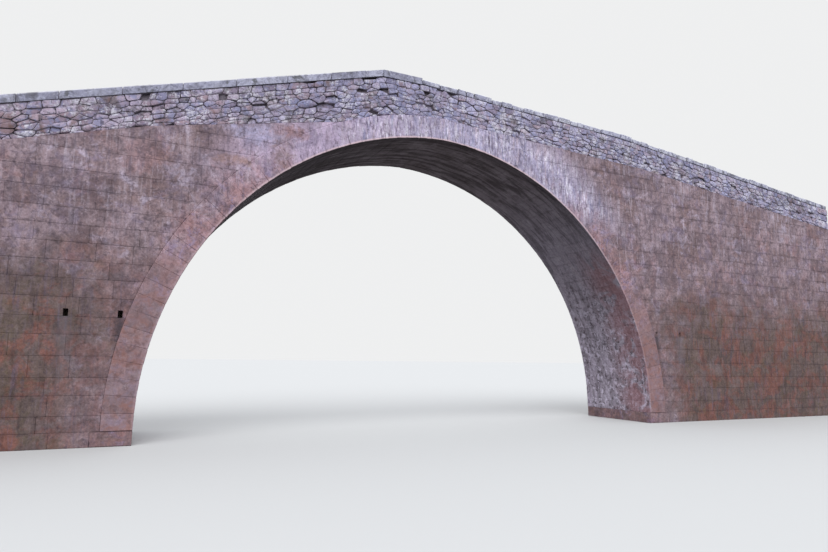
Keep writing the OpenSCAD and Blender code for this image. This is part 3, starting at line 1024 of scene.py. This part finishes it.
class Finish(Graph):
    """A stone's or mortar's material: a base colour that is covered step by step, and a relief."""

    def __init__(self, name):
        self.material = bpy.data.materials.new(name)
        super().__init__(self.material)
        self.base = self.height = None
        self.place = self.add("TexCoord")["Object"]
        self.x, self.y, self.z = self.add("SeparateXYZ", [self.place])
        self.upwards = self.add("SeparateXYZ", [self.add("NewGeometry")["Normal"]])[2]
        tone = self.add("Attribute", attribute_name="tone")
        self.tone_a, self.tone_b, self.tone_c = self.add("SeparateColor", [tone["Color"]])
        self.edge = tone["Alpha"]

    def between(self, value, low, high, out_low=0.0, out_high=1.0):
        """A smooth step from one value to another as the input goes from low to high."""
        return self.add("MapRange", (value, low, high, out_low, out_high), interpolation_type="SMOOTHSTEP")[0]

    def stretched(self, place, scale, shift):
        place = self.place if place is None else place
        return self.add("Mapping", {"Vector": place, "Scale": scale, "Location": shift})[0]

    def noise(self, size, detail=4.0, rough=0.6, fall=1.0, shift=0.0, warp=0.0, place=None):
        """Fractal noise with features of about the given size in metres; a low fall makes them tall."""
        place = self.stretched(place, (1.0, 1.0, fall), (shift, shift * 0.7, shift * 1.3))
        inputs = {"Vector": place, "Scale": 1 / size, "Detail": detail, "Roughness": rough}
        return self.add("TexNoise", {**inputs, "Distortion": warp})["Fac"]

    def spots(self, size, shift=0.0):
        """Distance from scattered points, as a share of their spacing."""
        place = self.stretched(None, (1.0, 1.0, 1.0), (shift, shift, shift))
        return self.add("TexVoronoi", {"Vector": place, "Scale": 1 / size})["Distance"]

    def cover(self, share, paint):
        """Lays a colour over the base; share is how much of it shows."""
        self.base = self.mix(share, self.base, paint)

    def patch(self, paint, size, low, high, most, shift=0.0, *within):
        """Ragged patches of a colour where the noise passes low to high; within limits them to a place."""
        noise = self.noise(size, 7.0, 0.68, shift=shift, warp=0.6)
        self.cover(self.times(self.between(noise, low, high, 0.0, most), *within), paint)

    def runs(self, paint, size, fall, most, shift, where, low=0.48, high=0.68):
        """Vertical runs left by rain, narrow along the wall and long in height, gathered in some places."""
        streak = self.noise(size, 4.0, 0.65, fall, shift, 0.4)
        self.cover(self.times(self.between(streak, low, high, 0.0, most), where), paint)

    def shade(self, factor):
        """Makes the base darker or paler by a factor, which may pass 1."""
        self.base = self.mix(1.0, self.base, self.add("CombineXYZ", [factor] * 3)[0], "MULTIPLY")

    def tint(self, low, high):
        """Makes the base darker or paler from stone to stone."""
        self.shade(self.between(self.tone_c, 0.0, 1.0, low, high))

    def mottle(self, size, strength, shift):
        """Makes the base paler and darker by turns."""
        noise = self.noise(size, 5.0, 0.70, shift=shift, warp=0.5)
        self.shade(self.between(noise, 0.34, 0.66, 1 - strength, 1 + strength))

    def soil_edges(self, strength, everywhere):
        """Dirt along the worn edges of each stone, strong in some places and hardly there in others."""
        grime = self.between(self.noise(0.12, 3.0, shift=11.0), 0.30, 0.62, 0.3 * strength, strength)
        where = self.between(self.noise(1.4, shift=19.0), 0.44, 0.62, everywhere, 1.0)
        self.cover(self.times(self.edge, grime, where), (62, 52, 56))

    def lichen(self, share, pale, size, shift, *within):
        """Pale crusts of lichen, which stand out a little; share is how much of the surface they take."""
        patches = self.times(self.noise(size * 6, 3.0, shift=shift), 0.55)
        crust = self.times(self.noise(size, 6.0, 0.72, shift=shift + 7.0), 0.6)
        limit = 0.74 - 0.30 * share
        crust = self.between(self.calc("ADD", patches, crust), limit, limit + 0.07)
        self.cover(self.times(crust, 0.85, *within), pale)
        self.add_height(crust, 0.0015)

    def add_height(self, value, metres):
        """Adds to the relief."""
        part = self.times(value, metres)
        self.height = part if self.height is None else self.calc("ADD", self.height, part)

    def add_grain(self, strength=1.0):
        """Relief of weathered sandstone: scabs, grains and shallow pits."""
        self.add_height(self.noise(0.16, 5.0, 0.62), 0.010 * strength)
        self.add_height(self.noise(0.035, shift=3.0), 0.005 * strength)
        self.add_height(self.between(self.spots(0.022, 5.0), 0.05, 0.35), 0.0012 * strength)

    def finish(self, roughness, shine=0.2):
        bump = self.add("Bump", {"Strength": 1.0, "Distance": 1.0, "Height": self.height})[0]
        inputs = {"Base Color": self.base, "Roughness": roughness, "Normal": bump}
        self.put(self.nodes["Principled BSDF"], {**inputs, "Specular IOR Level": shine})


def outside_arch(f):
    """How far a place lies outside the arch's underside, and its angle around the centre of the arc."""
    x = f.calc("ADD", f.calc("ABSOLUTE", f.x), ARC_OFFSET)
    z = f.calc("SUBTRACT", f.z, SPRINGING)
    away = f.calc("SQRT", f.calc("ADD", f.times(x, x), f.times(z, z)))
    return f.calc("SUBTRACT", away, ARC_R), f.calc("ARCTAN2", z, x)


def run_below(f, x, z, width, length):
    """Share of a dark run that water from a weep hole leaves down the wall, on both halves."""
    away = f.calc("ABSOLUTE", f.calc("SUBTRACT", f.calc("ABSOLUTE", f.x), x))
    ragged = f.calc("ADD", away, f.times(f.noise(0.12, 3.0, shift=x), 0.16))
    beside = f.between(ragged, 0.07 + width, 0.07)
    return f.times(beside, f.between(f.z, z - length, z), f.between(f.z, z + 0.05, z))


def stain(f, paint, x, z, half_x, half_z, most):
    """One ragged stain at a place on the walls."""
    across = f.calc("DIVIDE", f.calc("SUBTRACT", f.x, x), half_x)
    up = f.calc("DIVIDE", f.calc("SUBTRACT", f.z, z), half_z)
    away = f.calc("ADD", f.times(across, across), f.times(up, up))
    ragged = f.calc("ADD", away, f.times(f.noise(0.18, 6.0, 0.70, shift=x, warp=0.4), 4.0))
    f.cover(f.between(ragged, 3.2, 1.6, 0.0, most), paint)


# Stains seen left of the crown: paint, middle, half length, half height, share
STAINS = (
    ((180, 174, 206), -4.8, 6.85, 0.75, 0.34, 0.80),
    ((160, 122, 120), -4.0, 7.02, 0.55, 0.20, 0.75),
    ((132, 108, 104), -4.2, 6.45, 0.34, 0.60, 0.70),
    ((156, 124, 114), -5.3, 6.15, 0.50, 0.16, 0.70),
)
# Streaks right of the crown: paint, width, share, shift of the noise
STREAKS = (
    ((126, 128, 162), 0.13, 0.75, 81.0),
    ((204, 182, 192), 0.12, 0.55, 87.0),
    ((232, 226, 242), 0.07, 0.75, 93.0),
    ((98, 86, 106), 0.06, 0.80, 99.0),
    ((242, 236, 248), 0.035, 0.55, 103.0),
)


def weather(f, foot_share):
    """Sandstone of the walls and the rings: lilac at the crown, rosy beside it, brown at the foot.

    Gives back how far a place lies outside the arch's underside.
    """
    outside, _ = outside_arch(f)
    f.base = f.mix(f.between(f.noise(0.9, 6.0, 0.62, warp=0.7), 0.38, 0.58), (138, 116, 118), (160, 140, 148))
    crown = f.times(f.between(outside, 1.7, 0.5), f.between(f.z, 5.2, 6.6))
    f.cover(f.times(crown, 0.85), f.mix(f.between(f.x, -4.5, 1.0), (198, 178, 206), (180, 174, 206)))
    f.patch((194, 182, 204), 0.45, 0.52, 0.66, 0.60, 15.0)
    f.patch((134, 122, 150), 0.50, 0.52, 0.66, 0.55, 61.0)
    f.patch((162, 120, 118), 0.75, 0.50, 0.66, 0.42, 21.0, f.between(f.z, 7.9, 5.8, 0.12, 1.0))
    plain = f.calc("SUBTRACT", 1.0, crown)
    f.patch((104, 88, 96), 0.45, 0.44, 0.62, 0.60, 91.0, plain)
    beside = f.times(f.between(outside, 1.1, 0.2), f.between(f.z, 6.6, 5.8))
    f.patch((180, 138, 142), 0.70, 0.36, 0.60, 0.65, 63.0, beside)
    f.patch((152, 140, 176), 0.35, 0.52, 0.62, 0.65, 67.0, beside)
    f.patch((84, 72, 84), 0.13, 0.50, 0.64, 0.50, 95.0, plain)
    f.patch((184, 166, 176), 0.09, 0.54, 0.68, 0.40, 97.0, plain)
    height = f.calc("ADD", f.z, f.times(f.noise(1.3, 3.0), 2.4))
    foot = f.between(outside, RING_DEPTH + 0.1, RING_DEPTH + 1.4, 0.4, 1.0)
    foot = f.times(foot, f.between(height, 6.0, 3.4, 0.0, foot_share))
    f.cover(foot, (101, 85, 78))
    f.patch((134, 84, 74), 0.50, 0.46, 0.60, 0.75, 51.0, foot)
    f.patch((98, 86, 70), 0.40, 0.52, 0.64, 0.60, 57.0, foot)
    f.runs((70, 58, 58), 0.17, 0.20, 0.62, 75.0, foot)
    wet = f.noise(0.8, 3.0, 0.55, shift=71.0)
    f.runs((108, 96, 112), 0.09, 0.12, 0.55, 31.0, f.between(wet, 0.40, 0.58, 0.15, 1.0))
    dry = f.times(f.between(wet, 0.60, 0.42, 0.15, 1.0), f.between(f.z, 3.0, 7.0, 0.15, 1.0))
    f.runs((204, 192, 208), 0.07, 0.10, 0.45, 47.0, dry)
    streaked = f.times(crown, f.between(f.x, -3.4, -1.8, 0.15, 1.0))
    for paint, size, most, shift in STREAKS:
        f.runs(paint, size, 0.16, most, shift, streaked, 0.52, 0.68)
    for values in STAINS:
        stain(f, *values)
    f.patch((92, 78, 86), 0.10, 0.54, 0.66, 0.60, 5.0)
    f.mottle(0.20, 0.16, 107.0)
    f.mottle(0.05, 0.17, 109.0)
    return outside


def wall_finish(f):
    """Sandstone blocks in courses."""
    weather(f, 0.85)
    f.cover(f.times(run_below(f, WEEP_XS[0], WEEP_SILL, 0.16, 1.6), 0.75), (66, 62, 68))
    f.cover(f.times(run_below(f, WEEP_XS[1], WEEP_SILL, 0.24, 1.9), 0.45), (120, 114, 124))
    f.soil_edges(0.44, 0.15)
    f.tint(0.90, 1.03)
    f.add_grain()
    f.finish(0.88)


def ring_finish(f):
    """Dressed arch stones, whose undersides take the vault's colours and painted shade, with a painted
    highlight along the arch's lower edge.
    """
    outside = weather(f, 0.35)
    low = f.between(f.z, 4.6, 2.2)
    f.cover(f.times(low, 0.5), (150, 129, 134))
    f.patch((152, 110, 102), 0.45, 0.40, 0.64, 0.72, 77.0, low)
    f.patch((142, 128, 144), 0.24, 0.48, 0.66, 0.55, 79.0, low)
    f.patch((104, 82, 82), 0.16, 0.50, 0.66, 0.55, 83.0, low)
    f.patch((176, 154, 160), 0.10, 0.52, 0.68, 0.40, 85.0, low)
    f.soil_edges(0.14, 0.05)
    f.tint(0.90, 1.02)
    # A painted highlight along the arch's lower edge
    painted_arris_highlight = f.between(f.calc("ADD", outside, f.times(f.noise(0.3), 0.05)), 0.095, 0.05, 0.0, 0.8)
    f.cover(f.times(painted_arris_highlight, f.between(f.z, 3.0, 7.0, 0.2, 1.0)), (222, 196, 202))
    ragged = f.calc("ADD", outside, f.times(f.noise(0.10, 3.0, shift=8.0), -0.03))
    face = f.base
    paint_underside(f)
    f.base = f.mix(f.between(ragged, 0.006, -0.006), face, f.base)
    f.add_grain(0.8)
    f.finish(0.9, 0.06)


def paint_underside(f):
    """Brown-grey stone with soft streaks along the arch, the dark ones stronger towards the crown, paler with
    lime low down, with painted shade over the left half and along the near edge.
    """
    along = f.times(outside_arch(f)[1], ARC_R, 0.16)
    place = f.add("CombineXYZ", (along, f.y, f.times(f.x, 0.02)))[0]
    streak = f.noise(0.16, 5.0, warp=0.5, place=place)
    f.base = f.mix(f.between(f.noise(0.7, 5.0, 0.65, warp=0.5), 0.35, 0.65), (122, 111, 113), (160, 148, 154))
    limy = f.mix(f.noise(0.5, 5.0, 0.65, shift=3.0, warp=0.5), (144, 136, 148), (186, 176, 192))
    f.cover(f.between(f.z, 7.8, 5.0), limy)
    # Painted shade over the left half of the underside, against the front light that reaches it
    f.cover(f.times(f.between(f.x, 0.0, -3.5, 0.0, 0.85), f.between(f.z, 3.5, 5.0)), (52, 44, 46))
    f.cover(f.times(f.between(streak, 0.44, 0.60), f.between(f.z, 4.0, 7.4, 0.30, 0.58)), (58, 50, 52))
    f.cover(f.between(streak, 0.44, 0.34, 0.0, 0.4), (158, 146, 150))
    f.patch((62, 52, 58), 0.13, 0.50, 0.61, 0.72, 23.0, f.between(f.z, 6.0, 3.0))
    f.cover(f.times(f.between(streak, 0.50, 0.34), f.between(f.z, 4.8, 1.8, 0.10, 0.60)), (196, 184, 206))
    f.patch((212, 202, 222), 0.15, 0.51, 0.60, 0.85, 29.0, f.between(f.z, 5.0, 2.0))
    # Painted shade along the underside's near edge
    f.cover(f.times(f.between(f.y, -0.85, -1.25), f.between(f.z, 4.5, 6.5, 0.0, 0.5)), (50, 42, 46))
    rosy = f.times(f.between(f.y, 0.3, -0.9, 0.05, 0.85), f.between(f.z, 5.4, 4.2))
    f.patch((152, 108, 112), 0.5, 0.38, 0.54, 0.8, 12.0, rosy)
    f.mottle(0.06, 0.15, 111.0)


def vault_finish(f):
    """The underside between the rings."""
    paint_underside(f)
    f.tint(0.94, 1.06)
    f.soil_edges(0.34, 0.25)
    f.add_grain()
    f.finish(0.9, 0.06)


def parapet_finish(f):
    """Rubble: grey-purple stones with pinkish ones among them, lichen and dark mossy patches."""
    left = f.mix(f.between(f.tone_a, 0.0, 1.0), (138, 124, 144), (196, 182, 204))
    right = f.mix(f.between(f.tone_a, 0.0, 1.0), (138, 134, 163), (192, 188, 219))
    f.base = f.mix(f.between(f.x, -8.0, -2.0), left, right)
    f.cover(f.between(f.tone_b, 0.60, 1.0, 0.0, 0.6), (178, 150, 154))
    f.patch((166, 142, 156), 0.40, 0.44, 0.62, 0.45, 2.0)
    f.patch((138, 142, 178), 0.30, 0.46, 0.60, 0.70, 43.0)
    f.lichen(0.52, (216, 213, 226), 0.040, 1.0)
    f.patch((80, 72, 86), 0.07, 0.51, 0.62, 0.70, 9.0)
    f.patch((82, 76, 76), 0.45, 0.52, 0.64, 0.65, 33.0)
    f.patch((134, 104, 98), 0.40, 0.56, 0.66, 0.55, 35.0)
    # Upward faces paler: partly dust and lichen, partly a painted highlight
    f.cover(f.between(f.upwards, 0.2, 0.9, 0.0, 0.35), (196, 192, 206))
    f.soil_edges(0.36, 0.05)
    f.add_grain(1.3)
    f.finish(0.92)


def coping_finish(f):
    """Coping: blue-grey, with a painted highlight along its upper edge and painted shade on its top faces,
    and more crusted with lichen right of the summit.
    """
    f.base = f.mix(f.between(f.tone_a, 0.0, 1.0), (156, 156, 178), (180, 180, 202))
    f.patch((122, 120, 138), 0.25, 0.46, 0.62, 0.65, 3.0)
    f.patch((104, 102, 120), 0.10, 0.48, 0.62, 0.60, 7.0)
    f.patch((196, 198, 220), 0.06, 0.52, 0.66, 0.55, 13.0)
    f.lichen(0.60, (208, 208, 222), 0.05, 5.0, f.between(f.x, -1.6, 0.2, 0.25, 1.0))
    f.patch((80, 80, 76), 0.30, 0.55, 0.64, 0.70, 37.0)
    # Painted highlight on the faces that tilt a little upwards, along the upper edge
    f.cover(f.between(f.upwards, 0.06, 0.28, 0.0, 0.90), (232, 232, 242))
    # Painted shade on the top faces, which the light from above strikes hardest
    f.cover(f.between(f.upwards, 0.75, 0.97, 0.0, 0.70), (116, 114, 120))
    f.patch((84, 82, 88), 0.40, 0.53, 0.66, 0.65, 17.0)
    f.patch((92, 88, 98), 0.06, 0.56, 0.68, 0.55, 27.0)
    f.soil_edges(0.30, 0.4)
    f.add_grain(1.2)
    f.finish(0.9)


def road_finish(f):
    """Worn paving stones, polished on top and earthy at the joints."""
    f.base = f.mix(f.tone_a, (116, 108, 106), (158, 148, 146))
    f.cover(f.between(f.tone_b, 0.75, 0.95, 0.0, 0.5), (150, 118, 108))
    f.patch((110, 100, 88), 0.5, 0.45, 0.65, 0.6)
    f.soil_edges(0.8, 0.8)
    f.add_grain(0.5)
    f.finish(0.8)


def fill_finish(f):
    """Rubble and lime fill inside the bridge."""
    cells = f.spots(0.18)
    f.base = f.mix(f.between(cells, 0.1, 0.5), (140, 124, 112), (92, 80, 72))
    f.cover(f.noise(0.06, 4.0), (150, 138, 124))
    f.add_height(cells, -0.03)
    f.add_grain()
    f.finish(0.95)


def mortar_finish(f, pale, dark):
    """Sandy lime mortar in the joints, washed out and dirty."""
    f.base = f.mix(f.between(f.noise(0.8, 5.0, 0.65), 0.38, 0.54), dark, pale)
    f.cover(f.between(f.noise(0.03, 4.0, 0.7), 0.4, 0.7, 0.0, 0.5), dark)
    # A low tone darkens the mortar: painted shade on the bed deep behind the rubble
    f.tint(0.4, 1.6)
    f.add_height(f.noise(0.04, 5.0, 0.7), 0.012)
    f.add_height(f.noise(0.008, 3.0), 0.002)
    f.finish(0.95)


def finished(name, build, *values):
    """A material of the given name, made up by one of the functions above."""
    f = Finish(name)
    build(f, *values)
    return f.material


SLOTS = {
    "wall_ashlar": wall_finish,
    "spandrel_ashlar": wall_finish,
    "ring_stone": ring_finish,
    "vault_stone": vault_finish,
    "parapet_rubble": parapet_finish,
    "coping_stone": coping_finish,
    "road_stone": road_finish,
    "rubble_fill": fill_finish,
}
FINISHES = {slot: finished(slot, build) for slot, build in SLOTS.items()}

# The mortar in open joints; that of the flush joints is weathered like the stones around it
OPEN_JOINTS = {
    "parapet_rubble": finished("rubble_mortar", mortar_finish, (180, 169, 184), (88, 80, 88)),
    "coping_stone": finished("coping_mortar", mortar_finish, (120, 114, 126), (78, 72, 80)),
    "road_stone": finished("joint_earth", mortar_finish, (106, 94, 78), (66, 58, 48)),
}

# The material slot of each kind of piece
KINDS = {
    "abutment": "wall_ashlar",
    "wing": "wall_ashlar",
    "end_wall": "wall_ashlar",
    "spandrel": "spandrel_ashlar",
    "ring": "ring_stone",
    "vault": "vault_stone",
    "parapet": "parapet_rubble",
    "coping": "coping_stone",
    "paving": "road_stone",
}


# The pieces: each stands for one node


def gather_stones():
    """Lays every stone of the bridge."""
    for face in FACES:
        for side in SIDES:
            wall_stones(face, side)
            wing_quoins(face, side)
            ring_stones(face, side)
        parapet_stones(face)
        coping_stones(face)
    for side in SIDES:
        end_wall_stones(side)
        abutment_stones(side)
        vault_stones(side)
    road_stones()


def add_object(name, data):
    """Puts a new object into the scene."""
    thing = bpy.data.objects.new(name, data)
    bpy.context.collection.objects.link(thing)
    return thing


def make_pieces():
    """One piece for each node that shows: its stones and the mortar behind them."""
    for node, stones in gathered.items():
        slot = next(KINDS[kind] for kind in KINDS if kind in node)
        add_bed(stones, node)
        piece = add_object(f"{node}_stones", stones.mesh())
        piece.data.materials.append(FINISHES[slot])
        piece.data.materials.append(OPEN_JOINTS.get(slot, FINISHES[slot]))
        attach(piece, "root")
        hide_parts(node)


def finish_fills():
    """The fills inside keep their shapes and get their material."""
    for name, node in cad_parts.items():
        if name.endswith("_fill"):
            node.data.materials.clear()
            node.data.materials.append(FINISHES["rubble_fill"])


# Floor, light and camera; these colours are shares of white

PALE_SKY = (0.86, 0.865, 0.87, 1.0)
SKY_LIGHT = (0.93, 0.96, 1.0, 1.0)
PALE_FLOOR = (0.55, 0.553, 0.556, 1.0)
DARK_FLOOR = (0.13, 0.13, 0.13, 1.0)
FLOOR_REACH = 400.0


def pale_to_camera(graph, pale, bounced):
    """One colour for what the camera and its reflections see, and another as bounced light."""
    path = graph.add("LightPath")
    seen = path["Is Camera Ray"]
    for other in ("Is Glossy Ray", "Is Transmission Ray"):
        seen = graph.calc("MAXIMUM", seen, path[other])
    return graph.mix(seen, bounced, pale)


def make_floor():
    mesh = bpy.data.meshes.new("floor")
    corners = rectangle(-FLOOR_REACH, -FLOOR_REACH, FLOOR_REACH, FLOOR_REACH)
    mesh.from_pydata([(x, y, 0) for x, y in corners], [], [(0, 1, 2, 3)])
    floor = add_object("floor", mesh)
    material = bpy.data.materials.new("pale_floor")
    graph = Graph(material)
    base = pale_to_camera(graph, PALE_FLOOR, DARK_FLOOR)
    inputs = {"Base Color": base, "Roughness": 1.0, "Specular IOR Level": 0.0}
    graph.put(graph.nodes["Principled BSDF"], inputs)
    mesh.materials.append(material)


def make_world():
    world = bpy.data.worlds.new("overcast")
    bpy.context.scene.world = world
    graph = Graph(world)
    sky = pale_to_camera(graph, PALE_SKY, SKY_LIGHT)
    graph.put(graph.nodes["Background"], {"Color": sky, "Strength": 1.0})


def turned(degrees, axis):
    return Matrix.Rotation(math.radians(degrees), 4, axis)


def add_sun(name, strength, angle, azimuth, elevation):
    """A broad soft light from a direction: azimuth 0 shines along +Y, elevation is above the horizon."""
    light = bpy.data.lights.new(name, "SUN")
    light.energy = strength
    light.angle = math.radians(angle)
    add_object(name, light).matrix_world = turned(azimuth, "Z") @ turned(90 - elevation, "X")


# The photograph's camera, fitted to the edges of the arch
CAMERA_PLACE = (-7.665, -15.605, 1.791)
CAMERA_YAW = 25.774
CAMERA_PITCH = 7.381
CAMERA_ROLL = 0.7
PHOTO_WIDTH = 828
FOCAL_PIXELS = 640


def make_camera():
    data = bpy.data.cameras.new("camera")
    data.sensor_width = 36.0
    data.lens = data.sensor_width * FOCAL_PIXELS / PHOTO_WIDTH
    data.clip_end = 2 * FLOOR_REACH
    camera = add_object("camera", data)
    turn = turned(-CAMERA_YAW, "Z") @ turned(90 + CAMERA_PITCH, "X") @ turned(CAMERA_ROLL, "Z")
    camera.matrix_world = Matrix.Translation(CAMERA_PLACE) @ turn
    bpy.context.scene.camera = camera


gather_stones()
make_pieces()
finish_fills()
make_floor()
make_world()
add_sun("front_light", 1.9, 50, -28, 42)
add_sun("back_light", 0.7, 60, 150, 50)
make_camera()
bpy.context.scene.view_settings.view_transform = "Standard"
